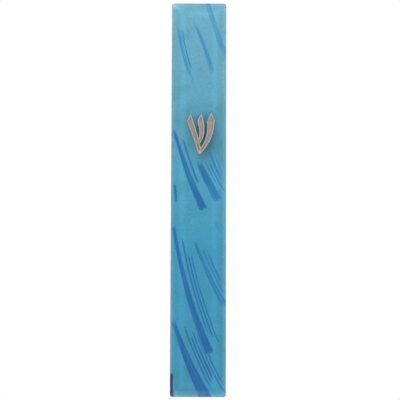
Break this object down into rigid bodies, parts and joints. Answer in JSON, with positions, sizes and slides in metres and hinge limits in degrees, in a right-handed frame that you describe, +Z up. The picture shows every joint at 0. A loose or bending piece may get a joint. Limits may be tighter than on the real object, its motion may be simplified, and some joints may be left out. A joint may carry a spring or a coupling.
{
  "type": "mezuzah case",
  "caption": "Slim upright mezuzah case: painted glass front with a raised pewter shin, bonded to a metal tube that holds a rolled parchment behind a pull-out stopper.",
  "frame": {"origin": "centre of the middle mounting pad's back face, on the doorpost's surface, midway up the case", "axes": "+Z up the doorpost along the case's length, +X to the reader's right, +Y back into the doorpost, so the glass faces -Y"},
  "size_m": [0.021, 0.0195, 0.15],
  "materials": {
    "clear_glass": "satin",
    "painted_glass": "satin",
    "pewter": "satin",
    "emblem_glue": "satin",
    "grey_foam_tape": "matte",
    "anodised_aluminium": "satin",
    "grey_plastic": "matte",
    "silicone": "satin",
    "parchment": "matte",
    "film": "gloss",
    "white_foam_tape": "matte"
  },
  "bodies": {
    "case": {"clear_cover_glass": "clear_glass", "painted_base_glass": "painted_glass", "shin_emblem": "pewter", "emblem_adhesive": "emblem_glue", "glass_bond_tape_left": "grey_foam_tape", "glass_bond_tape_right": "grey_foam_tape", "rear_tube": "anodised_aluminium", "top_cap": "grey_plastic", "mounting_pad_lower": "white_foam_tape", "mounting_pad_middle": "white_foam_tape", "mounting_pad_upper": "white_foam_tape"},
    "stopper": {"bottom_stopper": "silicone"},
    "scroll": {"parchment_scroll": "parchment", "scroll_wrap": "film"}
  },
  "joints": [
    {"name": "stopper_pull", "type": "slide", "parent": "case", "child": "stopper", "axis": [0, 0, -1], "range_m": [0, 0.135]},
    {"name": "scroll_lift", "type": "slide", "parent": "stopper", "child": "scroll", "axis": [0, 0, 1], "range_m": [0, 0.0065]}
  ]
}
